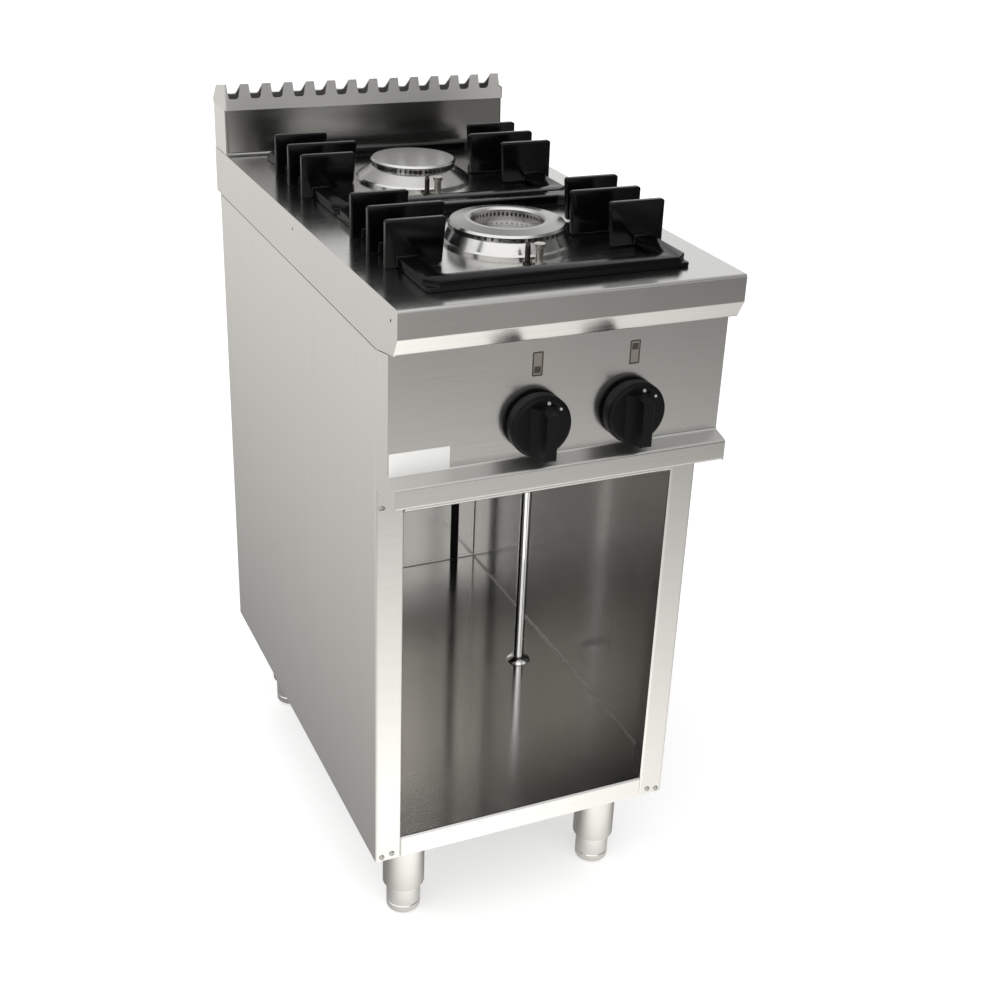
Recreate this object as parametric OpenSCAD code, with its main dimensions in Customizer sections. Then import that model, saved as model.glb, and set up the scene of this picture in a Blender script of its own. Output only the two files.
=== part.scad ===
// Free-standing two-burner gas range on an open base cabinet.
// Origin: on the floor, in the middle of the plan. X to the right, Y to the back, Z up.
// Most pieces are drawn from the plane of the front posts, which is y = 0 inside from_posts().

/* [Range] */
// Width of the range, side to side
body_w = 400; // [380:5:460]
// Depth of the worktop, front edge to back edge
worktop_d = 720; // [680:5:780]
// Height of the worktop above the floor
worktop_z = 870; // [840:5:920]
// Thickness of the cabinet's folded sheet steel
sheet = 1.5; // [1:0.5:2]
// Radius of the folds in the sheet steel, on the outside
fold_r = 3; // [2.5:0.5:4]

/* [Cabinet] */
// Height of the cabinet's underside above the floor
leg_h = 139.5; // [120:1:160]
// Width of the front posts
post_w = 33; // [28:1:45]
// Depth of the return fold behind each front post
post_return = 20; // [12:1:30]
// How far the side panels stop short of the worktop's back edge
side_set_in = 16; // [8:1:24]
// Height of the floor tray's front rail
floor_rail_h = 28.5; // [24:0.5:36]
// Height of the rail across the top of the opening
top_rail_h = 34; // [26:1:44]
// Height of the joint between side panel and worktop below the worktop's top
skirt_h = 61; // [50:1:70]
// Gap of that joint
seam_gap = 1; // [0.6:0.1:1.6]
// Diameter of the upper leg sleeves
leg_d = 54; // [48:1:60]
// Length of the upper leg sleeves
leg_sleeve_l = 96; // [80:1:104]
// Diameter of the adjustable feet
foot_d = 44; // [38:1:46]
// Distance from the middle of a leg to the side of the cabinet
leg_inset = 61.3; // [50:0.1:80]
// Distance from the middle of a leg to the front of the cabinet
leg_front = 65; // [45:1:90]

/* [Worktop] */
// Thickness of the worktop's sheet
top_t = 2; // [1.5:0.5:3]
// Overhang of the worktop in front of the posts
overhang = 62; // [50:1:80]
// Height of the worktop's upright front face
fascia_h = 31; // [24:1:36]
// Height of the slanted band under the front face
chamfer_h = 20; // [14:1:26]
// Depth of the slanted band
chamfer_d = 11; // [6:1:16]

/* [Control panel] */
// Distance of the panel's face in front of the posts
panel_out = 35; // [30:1:42]
// Height of the panel's foot below the worktop's top
panel_drop = 221.5; // [210:0.5:230]
// Height of the ledge's front lip
lip_h = 24.5; // [18:0.5:32]
// Distance of the lip in front of the panel's face
lip_out = 22; // [14:1:26]
// Rise of the sloping ledge between lip and face
ledge_rise = 5.5; // [2:0.5:10]
// Height of the knobs' axes below the worktop's top
knob_drop = 150; // [140:1:151]
// Sideways place of the left knob's axis
left_knob_x = -32; // [-44:1:-28]
// Sideways place of the right knob's axis
right_knob_x = 83; // [76:1:90]

/* [Knobs and valves] */
// Diameter of the knobs
knob_d = 71; // [60:1:76]
// Depth of the knob's round body
knob_body_h = 15; // [12:1:20]
// Height of the grip that stands on the knob's face
grip_h = 25; // [18:1:28]
// Width of the grip's crest
grip_w = 13; // [10:0.5:18]
// Width of the grip where it grows out of the face
grip_base_w = 32; // [26:1:40]
// Thickness of the ring on the panel behind each knob
bezel_t = 1.5; // [1:0.5:3]
// Travel of the knob when it is pushed in to light
push_travel = 3; // [2:0.5:4]
// Diameter of the valve spindles
spindle_d = 8; // [6:1:10]
// Radial clearance of the spindles in their bores
spindle_fit = 0.05; // [0.03:0.01:0.08]
// Diameter of the valve bodies
valve_d = 32; // [26:1:36]
// Length of the valve bodies
valve_l = 44; // [38:1:50]

/* [Burners] */
// Diameter of the front crown
crown_d = 133; // [120:1:140]
// Diameter of the hollow in the front crown
crown_hollow_d = 82; // [70:1:92]
// Diameter of the rear cap
cap_d = 109; // [100:1:120]
// Diameter of the burner bodies at the worktop
burner_foot_d = 146; // [140:1:150]
// Height of the crown and cap above the worktop
burner_h = 27; // [24:1:38]
// Height of the burner bodies above the worktop
burner_body_h = 17; // [14:1:26]
// Number of gas ports around a crown or cap
port_count = 52; // [40:1:60]
// Width of a gas port
port_w = 2.2; // [1.5:0.1:3]

/* [Pan supports] */
// Height of the supports above the worktop
support_h = 52; // [46:1:60]
// Width across the fins
support_w = 332; // [320:1:340]
// Distance from the worktop's front edge to the front support
front_margin = 41.5; // [36:0.5:50]
// Distance from the rear support to the flue
rear_margin = 24.5; // [16:0.5:34]
// Gap between the two supports
support_gap = 4; // [2:0.5:8]
// Width across the frame
frame_w = 306; // [296:1:312]
// Height of the frame's bars
frame_h = 12; // [9:1:16]
// Width of the frame's bars
frame_bar = 22; // [16:1:26]
// Thickness of a fin
fin_t = 8; // [6:0.5:9]
// Distance between fins
fin_pitch = 56; // [50:1:60]
// Clear width between the long middle fins
long_fin_gap = 154; // [152:1:160]
// Clear width between the short fins
short_fin_gap = 196; // [180:1:204]

/* [Flue] */
// Depth of the flue, front to back
flue_d = 64; // [50:1:70]
// Height of the flue box above the worktop
flue_h = 63; // [50:1:80]
// Height of the notched cap
cap_h = 31; // [26:1:36]
// Fall of the cap's top from front to back
cap_fall = 8; // [4:1:10]
// Depth and height of the slant at the back of the cap
cap_slant = 20; // [12:1:22]
// Distance from notch to notch
notch_pitch = 29.75; // [26:0.05:34]
// Distance from the cap's left end to the middle of the first notch
first_notch = 17; // [12:0.5:22]
// Depth of the notches
notch_h = 19.5; // [12:0.5:21]
// Width of a tooth at its top
tooth_top_w = 10; // [8:1:12]

/* [Gas pipe] */
// Diameter of the inlet pipe
pipe_d = 15; // [12:1:18]
// Distance of the inlet pipe from the side of the range
pipe_inset = 64; // [56:1:70]
// Distance of the inlet pipe from the posts
pipe_back = 320; // [280:5:400]
// Radius of the inlet pipe's bend
pipe_bend_r = 30; // [24:1:40]
// Diameter of the small pipes to the injectors
feed_d = 8; // [6:1:10]

/* [Hidden] */

// Colours, as the eye takes them on the real object
steel_light = "#C9C8C4";
steel_dark = "#6E6D69";
enamel_black = "#1C1C1D";
cast_grey = "#A9A8A4";
brass = "#B59B5A";
copper = "#B0704A";
plastic_black = "#232325";

round_fn = 96;
small_fn = 48;
fold_steps = 4;
touch = 0.3;

half_w = body_w / 2;
cabinet_d = worktop_d - overhang;
side_d = cabinet_d - side_set_in;
seam_z = worktop_z - skirt_h;
side_top_z = seam_z - seam_gap;
floor_top_z = leg_h + floor_rail_h;
panel_foot_z = worktop_z - panel_drop;
knob_z = worktop_z - knob_drop;
under_top_z = worktop_z - top_t;

knob_gap = push_travel + 0.7;
knob_reach = bezel_t + knob_gap + knob_body_h + grip_h;
front_reach = panel_out + knob_reach;
post_y = (front_reach - cabinet_d) / 2;

flue_front_y = cabinet_d - flue_d;
flue_top_z = worktop_z + flue_h;

// The two supports share the worktop between its front edge and the flue, each round its burner
frame_d = (flue_front_y + overhang - front_margin - rear_margin - support_gap) / 2;
front_burner_y = -overhang + front_margin + frame_d / 2;
rear_burner_y = front_burner_y + frame_d + support_gap;

opening_top_z = panel_foot_z - top_rail_h;
leg_x = half_w - leg_inset;
leg_back_y = side_d - leg_front;

manifold_w = 24;
manifold_drop = 32;
manifold_y = 24;
manifold_top_z = knob_z - manifold_drop;
pipe_x = half_w - pipe_inset;
manifold_end_x = pipe_x + manifold_w / 2;
valve_front_y = 2;
valve_back_y = valve_front_y + valve_l;
valve_nose_d = 20;
valve_nose_l = 8;
feed_z = knob_z;

module from_posts() translate([0, post_y, 0]) children();
module mirrored(side) scale([side, 1, 1]) children();

// A bent sheet. The outline follows a path of corner points; t is to the left of the path.
function unit(v) = v / norm(v);
function side_of(v) = [-v[1], v[0]];
function rounded_corner(a, b, c, r) =
    let (u = unit(a - b), w = unit(c - b),
         turn = acos(max(-1, min(1, u * w))),
         cut = r / tan(turn / 2),
         centre = b + unit(u + w) * (r / sin(turn / 2)),
         start = b + u * cut - centre,
         stop = b + w * cut - centre)
    [for (i = [0:fold_steps])
        let (k = i / fold_steps,
             d = unit(start * sin((1 - k) * (180 - turn)) + stop * sin(k * (180 - turn))))
        centre + d * r];
function rounded_path(p, r) = [
    for (i = [0:len(p) - 1])
        for (q = (i == 0 || i == len(p) - 1) ? [p[i]]
                 : rounded_corner(p[i - 1], p[i], p[i + 1], r)) q];
function mitre(p, i, t) =
    let (before = i == 0 ? unit(p[1] - p[0]) : unit(p[i] - p[i - 1]),
         after = i == len(p) - 1 ? before : unit(p[i + 1] - p[i]),
         n = unit(side_of(before) + side_of(after)))
    p[i] + n * (t / (n * side_of(before)));
function strip(p, t) = concat(
    p, [for (i = [len(p) - 1:-1:0]) mitre(p, i, t)]);
module bent_sheet(p, t, r) polygon(strip(rounded_path(p, r), t));
module along_x(w) translate([-w / 2, 0, 0]) rotate([90, 0, 90]) linear_extrude(w) children();
module along_y(l) translate([0, l, 0]) rotate([90, 0, 0]) linear_extrude(l) children();

// A pipe that follows a path of corners in one plane, with round bends
module pipe_bend(a, b, c, d, r) {
    u = unit(b - a);
    w = unit(c - b);
    turn = atan2(u[0] * w[1] - u[1] * w[0], u * w);
    cut = r * tan(abs(turn) / 2);
    centre = b - u * cut + side_of(u) * (turn > 0 ? r : -r);
    from = (turn > 0 ? b - u * cut : b + w * cut) - centre;
    translate([centre[0], centre[1], 0])
        rotate([0, 0, atan2(from[1], from[0])])
            rotate_extrude(angle = abs(turn), $fn = small_fn)
                translate([r, 0]) circle(d = d, $fn = small_fn);
}
function bend_cut(p, i, r) =
    (i == 0 || i == len(p) - 1) ? 0
    : let (u = unit(p[i] - p[i - 1]), w = unit(p[i + 1] - p[i])) r * tan(acos(u * w) / 2);
module flat_pipe(p, d, r) {
    for (i = [0:len(p) - 2]) {
        u = unit(p[i + 1] - p[i]);
        from = p[i] + u * bend_cut(p, i, r);
        length = norm(p[i + 1] - p[i]) - bend_cut(p, i, r) - bend_cut(p, i + 1, r);
        translate([from[0], from[1], 0])
            rotate([0, 90, atan2(u[1], u[0])])
                cylinder(d = d, h = length, $fn = small_fn);
    }
    for (i = [1:len(p) - 2]) pipe_bend(p[i - 1], p[i], p[i + 1], d, r);
}

// Cabinet
screw_hole_d = 4.2;
screw_d = 3.8;
screw_head_d = 7;
screw_head_h = 2;
screw_l = 8;
screw_places = [
    [half_w - 7, panel_foot_z - 24.5],
    [half_w - 8, leg_h + 5.5],
    [half_w - 21, leg_h + 8]
];
rear_flange = 20;
back_front_y = side_d - 2 * sheet;

module side_panel(side) color(steel_light) from_posts() mirrored(side) difference() {
    translate([0, 0, leg_h]) linear_extrude(side_top_z - leg_h)
        bent_sheet([
            [half_w - post_w, post_return],
            [half_w - post_w, 0],
            [half_w, 0],
            [half_w, side_d],
            [half_w - rear_flange, side_d]
        ], sheet, fold_r);
    for (p = screw_places)
        translate([p[0], -1, p[1]]) rotate([-90, 0, 0])
            cylinder(d = screw_hole_d, h = fold_r, $fn = small_fn);
}
module left_side_panel() side_panel(-1);
module right_side_panel() side_panel(1);

module back_panel() color(steel_dark) from_posts()
    translate([-half_w + fold_r + touch, back_front_y, leg_h])
        cube([body_w - 2 * (fold_r + touch), sheet, side_top_z - leg_h]);

// The floor is a tray: its front fold is the bottom rail of the opening
rail_w = body_w - 2 * post_w - 2 * touch;
tray_fold = 20;
tray_back_y = back_front_y - touch;
pipe_hole_d = pipe_d + 1;
module cabinet_floor() color(steel_dark) from_posts() difference() {
    union() {
        along_x(rail_w) bent_sheet([
            [tray_back_y, floor_top_z - tray_fold],
            [tray_back_y, floor_top_z],
            [0, floor_top_z],
            [0, leg_h]
        ], sheet, fold_r);
        for (side = [-1, 1]) mirrored(side)
            translate([0, post_return + touch, 0])
                along_y(tray_back_y - post_return - touch) bent_sheet([
                    [half_w - sheet, floor_top_z - tray_fold],
                    [half_w - sheet, floor_top_z],
                    [rail_w / 2 - fold_r, floor_top_z]
                ], sheet, fold_r);
    }
    translate([pipe_x, pipe_back, 0]) cylinder(d = pipe_hole_d, h = worktop_z, $fn = small_fn);
}

channel_d = 60;
module base_channel(y) color(steel_dark) from_posts()
    along_x(body_w - 2 * (sheet + fold_r + touch)) bent_sheet([
        [y - channel_d / 2, floor_top_z - sheet],
        [y - channel_d / 2, leg_h],
        [y + channel_d / 2, leg_h],
        [y + channel_d / 2, floor_top_z - sheet]
    ], sheet, fold_r);
module front_base_channel() base_channel(leg_front);
module rear_base_channel() base_channel(leg_back_y);

manifold_clear = 2;
rail_fold = 18;
rail_top_z = manifold_top_z - manifold_w - manifold_clear - sheet;
module top_front_rail() color(steel_light) from_posts()
    along_x(rail_w) bent_sheet([
        [rail_fold, rail_top_z],
        [0, rail_top_z],
        [0, opening_top_z],
        [rail_fold, opening_top_z]
    ], sheet, fold_r);

module rear_top_rail() color(steel_dark) from_posts()
    along_x(body_w - 2 * sheet - 2 * touch) bent_sheet([
        [back_front_y, side_top_z - top_rail_h],
        [back_front_y, side_top_z],
        [back_front_y - rail_fold, side_top_z]
    ], sheet, fold_r);

// Angles inside the cabinet that carry the worktop
angle_x = half_w - max(sheet, top_t);
angle_drop = 38;
angle_w = 24;
angle_start_y = 40;
angle_end_gap = 12;
angle_end_y = flue_front_y - angle_end_gap;
module worktop_rail(side) color(steel_dark) from_posts() mirrored(side)
    translate([0, angle_start_y, 0]) along_y(angle_end_y - angle_start_y) bent_sheet([
        [angle_x, seam_z - angle_drop],
        [angle_x, under_top_z],
        [angle_x - angle_w, under_top_z]
    ], sheet, fold_r);
module left_worktop_rail() worktop_rail(-1);
module right_worktop_rail() worktop_rail(1);

// Sheet between the burners and the open cabinet. Its slot lets the bend of the inlet pipe through
bend_rise = pipe_bend_r - manifold_w / 2 - manifold_clear;
bend_in_r = pipe_bend_r - pipe_d / 2;
slot_l = bend_in_r - sqrt(bend_in_r * bend_in_r - bend_rise * bend_rise);
module burner_box_floor() color(steel_dark) from_posts() difference() {
    translate([-half_w + sheet, post_return + touch, rail_top_z])
        cube([body_w - 2 * sheet, back_front_y - post_return - 2 * touch, sheet]);
    hull() for (y = [pipe_back - slot_l, pipe_back])
        translate([pipe_x, y, rail_top_z - 1])
            cylinder(d = pipe_hole_d, h = sheet + 2, $fn = small_fn);
}

// Worktop
lip_z = worktop_z - fascia_h - chamfer_h;
lip_back_y = -overhang + chamfer_d;
burner_cup_d = 104;
burner_hole_d = burner_cup_d + 2;
pilot_d = 9;
pilot_flange_d = 16;
thermo_d = 6;
thermo_flange_d = 10;
pilot_r = 86;
thermo_x = -14;
flue_slot_margin = 8;
worktop_path = [
    [cabinet_d, seam_z],
    [cabinet_d, worktop_z],
    [-overhang, worktop_z],
    [-overhang, worktop_z - fascia_h],
    [lip_back_y, lip_z],
    [-panel_out - touch, lip_z]
];
module worktop_skirt() {
    outline = rounded_path([for (i = [0:4]) worktop_path[i]], fold_r);
    rotate([90, 0, 90]) linear_extrude(top_t) polygon(concat(outline, [[0, seam_z]]));
}
module worktop() color(steel_light) from_posts() difference() {
    union() {
        along_x(body_w) bent_sheet(worktop_path, top_t, fold_r);
        translate([-half_w, 0, 0]) worktop_skirt();
        translate([half_w - top_t, 0, 0]) worktop_skirt();
    }
    for (y = [front_burner_y, rear_burner_y]) {
        translate([0, y, under_top_z - 1]) cylinder(d = burner_hole_d, h = top_t + 2, $fn = round_fn);
        translate([0, y - pilot_r, under_top_z - 1])
            cylinder(d = pilot_d + 1, h = top_t + 2, $fn = small_fn);
        translate([thermo_x, y - pilot_r, under_top_z - 1])
            cylinder(d = thermo_d + 1, h = top_t + 2, $fn = small_fn);
    }
    translate([-half_w + flue_slot_margin, flue_front_y + flue_slot_margin, under_top_z - 1])
        cube([body_w - 2 * flue_slot_margin, flue_d - 2 * flue_slot_margin, top_t + 2]);
}

// Control panel
panel_tuck = 18;
panel_top_z = lip_z + panel_tuck;
face_foot_z = panel_foot_z + lip_h + ledge_rise;
spindle_hole_clear = 3;
spindle_hole_d = spindle_d + 2 * spindle_hole_clear;
panel_path = [
    [-panel_out, panel_top_z],
    [-panel_out, face_foot_z],
    [-panel_out - lip_out, panel_foot_z + lip_h],
    [-panel_out - lip_out, panel_foot_z],
    [-touch, panel_foot_z]
];
// The cheek's top edge runs along the worktop's skirt
function skirt_foot_z(y) = seam_z + (lip_z - seam_z) * y / lip_back_y;
module panel_cheek() rotate([90, 0, 90]) linear_extrude(sheet)
    polygon(concat(
        [[-touch, skirt_foot_z(0) - seam_gap], [-panel_out, skirt_foot_z(-panel_out) - seam_gap]],
        rounded_path([for (i = [1:3]) panel_path[i]], fold_r),
        [[-touch, panel_foot_z]]));
module control_panel() color(steel_light) from_posts() difference() {
    union() {
        along_x(body_w - 2 * touch) bent_sheet(panel_path, sheet, fold_r);
        translate([-half_w + touch, 0, 0]) panel_cheek();
        translate([half_w - touch - sheet, 0, 0]) panel_cheek();
    }
    for (x = [left_knob_x, right_knob_x])
        translate([x, 0, knob_z]) rotate([90, 0, 0])
            cylinder(d = spindle_hole_d, h = overhang, $fn = small_fn);
    for (side = [-1, 1]) mirrored(side)
        translate([half_w - top_t - touch, -panel_out - 1, skirt_foot_z(-panel_out) - seam_gap])
            cube([top_t + 1, sheet + 2, panel_top_z]);
}

// Flue
cap_proud = 1;
flue_foot = 5;
module flue_box() color(steel_dark) from_posts() {
    difference() {
        translate([-half_w + cap_proud, flue_front_y + cap_proud, worktop_z])
            cube([body_w - 2 * cap_proud, flue_d - 2 * cap_proud, flue_h]);
        translate([-half_w + cap_proud + sheet, flue_front_y + cap_proud + sheet, worktop_z - 1])
            cube([body_w - 2 * (cap_proud + sheet), flue_d - 2 * (cap_proud + sheet), flue_h + 2]);
    }
    translate([-half_w + cap_proud, flue_front_y + cap_proud - flue_foot, worktop_z])
        cube([body_w - 2 * cap_proud, flue_foot, sheet]);
}

// The cap is folded over the flue, and its notches let the warm air out
cap_top_z = flue_top_z + cap_h;
cap_lap = 3;
cap_foot_z = flue_top_z - cap_lap;
cap_edge = 1;
slant_y = cabinet_d - cap_slant;
slant_z = cap_top_z - cap_fall;
slant_sheet = sheet * sqrt(2);
notch_top_w = notch_pitch - tooth_top_w;
notch_taper = 3.5;
notch_foot_w = notch_top_w - 2 * notch_taper;
notch_r = 4;
notch_count = floor((body_w - first_notch + notch_top_w / 2) / notch_pitch) + 1;
module cap_notch() {
    foot_z = cap_top_z - notch_h;
    along_y(worktop_d) polygon(rounded_path([
        [-notch_top_w / 2, cap_top_z + cap_fall],
        [-notch_top_w / 2, cap_top_z],
        [-notch_foot_w / 2, foot_z],
        [notch_foot_w / 2, foot_z],
        [notch_top_w / 2, cap_top_z],
        [notch_top_w / 2, cap_top_z + cap_fall]
    ], notch_r));
}
module flue_cap() color(steel_light) from_posts() difference() {
    along_x(body_w) polygon([
        [flue_front_y, cap_foot_z],
        [flue_front_y, cap_top_z - cap_edge],
        [flue_front_y + cap_edge, cap_top_z],
        [slant_y, slant_z],
        [cabinet_d, slant_z - cap_slant],
        [cabinet_d, cap_foot_z]
    ]);
    along_x(body_w - 2 * cap_proud) polygon([
        [flue_front_y + cap_proud, cap_foot_z - 1],
        [flue_front_y + cap_proud, cap_top_z - sheet],
        [slant_y + sheet - slant_sheet, slant_z - sheet],
        [cabinet_d - cap_proud, slant_z - cap_slant + cap_proud - slant_sheet],
        [cabinet_d - cap_proud, cap_foot_z - 1]
    ]);
    for (i = [0:notch_count - 1])
        translate([-half_w + first_notch + i * notch_pitch, 0, 0]) cap_notch();
}

// Burners
mixing_l = 98;
mixing_bore_d = 28;
mixing_wall = 4;
mixing_flange = 4;
cup_wall = 3;
cup_depth = 28;
cup_fall = 16;
cup_lip = 6;
rim_h = 3;
rim_step = 2;
body_wall = 5;
spigot_h = 5;
crown_edge = 1.5;
module burner_body(y, top_d) color(cast_grey) from_posts() translate([0, y, worktop_z]) {
    bore_r = mixing_bore_d / 2;
    tube_r = bore_r + mixing_wall;
    cup_r = burner_cup_d / 2;
    foot_r = burner_foot_d / 2;
    top_r = top_d / 2 - crown_edge;
    rotate_extrude($fn = round_fn) polygon([
        [bore_r, -mixing_l],
        [tube_r + mixing_flange, -mixing_l],
        [tube_r + mixing_flange, -mixing_l + mixing_flange],
        [tube_r, -mixing_l + mixing_flange],
        [tube_r, -cup_depth - cup_fall],
        [cup_r, -cup_depth],
        [cup_r, 0],
        [foot_r, 0],
        [foot_r, rim_h],
        [foot_r - rim_step, rim_h + rim_step],
        [top_r, burner_body_h],
        [top_r - body_wall, burner_body_h],
        [top_r - body_wall, burner_body_h - spigot_h - 1],
        [cup_r - cup_wall, cup_lip],
        [cup_r - cup_wall, -cup_depth + 1],
        [bore_r, -cup_depth - cup_fall + 2]
    ]);
}
module front_burner_body() burner_body(front_burner_y, crown_d);
module rear_burner_body() burner_body(rear_burner_y, cap_d);

port_h = 4;
port_rise = 0.8;
port_l = 40;
port_start = 30;
module ports(r) for (i = [0:port_count - 1])
    rotate([0, 0, (i + 0.5) * 360 / port_count])
        translate([r - port_start, -port_w / 2, burner_body_h + port_rise])
            cube([port_l, port_w, port_h]);

// The crown is a ring with a hollow middle that a thin floor closes
crown_wall = 3;
crown_roof = 5;
crown_floor_z = 6;
crown_floor_t = 3;
hollow_slope_w = 6;
crown_bevel_w = 2;
crown_bevel_h = 2.5;
module front_burner_crown() color(cast_grey) from_posts()
    translate([0, front_burner_y, worktop_z]) {
    out_r = crown_d / 2;
    in_r = crown_hollow_d / 2;
    seat_r = out_r - crown_edge - body_wall - touch;
    floor_top = crown_floor_z + crown_floor_t;
    difference() {
        rotate_extrude($fn = round_fn) polygon([
            [0, crown_floor_z],
            [in_r + crown_wall, crown_floor_z],
            [in_r + crown_wall, burner_h - crown_roof],
            [seat_r - crown_wall, burner_h - crown_roof],
            [seat_r - crown_wall, burner_body_h - spigot_h],
            [seat_r, burner_body_h - spigot_h],
            [seat_r, burner_body_h],
            [out_r, burner_body_h],
            [out_r, burner_h - 2 * crown_bevel_h],
            [out_r - crown_bevel_w, burner_h - crown_bevel_h],
            [in_r + crown_wall + 2 * crown_bevel_w, burner_h],
            [in_r + crown_bevel_w, burner_h],
            [in_r, burner_h - crown_bevel_w],
            [in_r, floor_top + crown_wall],
            [in_r - hollow_slope_w, floor_top],
            [0, floor_top]
        ]);
        ports(out_r - crown_edge);
    }
}

cap_roof = 5;
cap_rim = 1.5;
cap_edge_r = 2.5;
module rear_burner_cap() color(cast_grey) from_posts()
    translate([0, rear_burner_y, worktop_z]) {
    out_r = cap_d / 2;
    seat_r = out_r - crown_edge - body_wall - touch;
    difference() {
        rotate_extrude($fn = round_fn) polygon([
            [0, burner_h - cap_roof],
            [seat_r - crown_wall, burner_h - cap_roof],
            [seat_r - crown_wall, burner_body_h - spigot_h],
            [seat_r, burner_body_h - spigot_h],
            [seat_r, burner_body_h],
            [out_r - cap_rim, burner_body_h],
            [out_r - cap_rim, burner_h - cap_roof],
            [out_r, burner_h - cap_roof + cap_rim],
            [out_r, burner_h - cap_edge_r],
            [out_r - cap_edge_r, burner_h],
            [0, burner_h]
        ]);
        ports(out_r);
    }
}

// Injectors, fixed under the burners' mixing tubes
injector_r = 22;
injector_t = 14;
feed_boss_d = 12;
feed_boss_l = 27;
nozzle_d = 12;
nozzle_gap = 8;
injector_leg_d = 5;
injector_leg_in = 3;
module injector(y) color(brass) from_posts() translate([0, y, 0]) {
    foot_z = worktop_z - mixing_l;
    translate([0, 0, feed_z - injector_t / 2])
        cylinder(r = injector_r, h = injector_t, $fn = small_fn);
    translate([0, 0, feed_z]) rotate([90, 0, 0])
        cylinder(d = feed_boss_d, h = feed_boss_l, $fn = small_fn);
    translate([0, 0, feed_z])
        cylinder(d = nozzle_d, h = foot_z - nozzle_gap - feed_z, $fn = small_fn);
    for (a = [30, 150, 270])
        rotate([0, 0, a]) translate([injector_r - injector_leg_in, 0, feed_z])
            cylinder(d = injector_leg_d, h = foot_z - feed_z, $fn = small_fn);
}
module front_injector() injector(front_burner_y);
module rear_injector() injector(rear_burner_y);

// Pilot light and flame-failure probe in front of each burner
pilot_h = 22;
pilot_stem = 30;
pilot_flange_t = 2;
pilot_hood_h = 4;
pilot_hood = 1.5;
module pilot(y) color(steel_light) from_posts() translate([0, y - pilot_r, worktop_z])
    rotate_extrude($fn = small_fn) polygon([
        [0, -pilot_stem],
        [pilot_d / 2, -pilot_stem],
        [pilot_d / 2, 0],
        [pilot_flange_d / 2, 0],
        [pilot_flange_d / 2, pilot_flange_t],
        [pilot_d / 2, pilot_flange_t],
        [pilot_d / 2, pilot_h - pilot_hood_h - 1],
        [pilot_d / 2 + pilot_hood, pilot_h - pilot_hood_h],
        [pilot_d / 2 + pilot_hood, pilot_h],
        [0, pilot_h]
    ]);
thermo_h = 25;
thermo_stem = 34;
thermo_flange_t = 3;
thermo_nose_h = 5;
module thermocouple(y) color(copper) from_posts() translate([thermo_x, y - pilot_r, worktop_z])
    rotate_extrude($fn = small_fn) polygon([
        [0, -thermo_stem],
        [thermo_d / 2, -thermo_stem],
        [thermo_d / 2, 0],
        [thermo_flange_d / 2, 0],
        [thermo_flange_d / 2, thermo_flange_t],
        [thermo_d / 2, thermo_flange_t],
        [thermo_d / 2, thermo_h - thermo_nose_h],
        [thermo_d / 2 - 1, thermo_h - 1],
        [0, thermo_h]
    ]);
module front_pilot() pilot(front_burner_y);
module rear_pilot() pilot(rear_burner_y);
module front_thermocouple() thermocouple(front_burner_y);
module rear_thermocouple() thermocouple(rear_burner_y);

// Gas train
manifold_tail = 30;
module gas_manifold() color(steel_dark) from_posts()
    translate([left_knob_x - manifold_tail, manifold_y - manifold_w / 2, manifold_top_z - manifold_w])
        cube([manifold_end_x - left_knob_x + manifold_tail, manifold_w, manifold_w]);

spindle_engage = 8;
spindle_spare = 2;
spindle_back_y = valve_front_y + spindle_engage;
spindle_bore_end_y = spindle_back_y + push_travel + spindle_spare;
nose_front_y = valve_front_y - valve_nose_l;
magnet_d = 16;
magnet_l = 34;
saddle_d = 16;
module gas_valve(x) color(brass) from_posts() translate([x, 0, knob_z]) difference() {
    union() {
        translate([0, valve_back_y, 0]) rotate([90, 0, 0])
            cylinder(d = valve_d, h = valve_l, $fn = round_fn);
        translate([0, valve_front_y, 0]) rotate([90, 0, 0])
            cylinder(d = valve_nose_d, h = valve_nose_l, $fn = small_fn);
        translate([0, manifold_y, -manifold_drop])
            cylinder(d = saddle_d, h = manifold_drop, $fn = small_fn);
        translate([0, manifold_y, 0]) rotate([0, -90, 0])
            cylinder(d = magnet_d, h = magnet_l, $fn = small_fn);
    }
    translate([0, spindle_bore_end_y, 0]) rotate([90, 0, 0])
        cylinder(r = spindle_d / 2 + spindle_fit, h = valve_l, $fn = small_fn);
}
module left_gas_valve() gas_valve(left_knob_x);
module right_gas_valve() gas_valve(right_knob_x);

feed_bend_r = 12;
feed_run_in = 28;
module feed_pipe(x, y) color(copper) from_posts() translate([0, 0, feed_z])
    flat_pipe([
        [x, valve_back_y],
        [x, y - feed_boss_l - feed_run_in],
        [0, y - feed_boss_l - feed_run_in],
        [0, y - feed_boss_l]
    ], feed_d, feed_bend_r);
module front_feed_pipe() feed_pipe(left_knob_x, front_burner_y);
module rear_feed_pipe() feed_pipe(right_knob_x, rear_burner_y);

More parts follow.
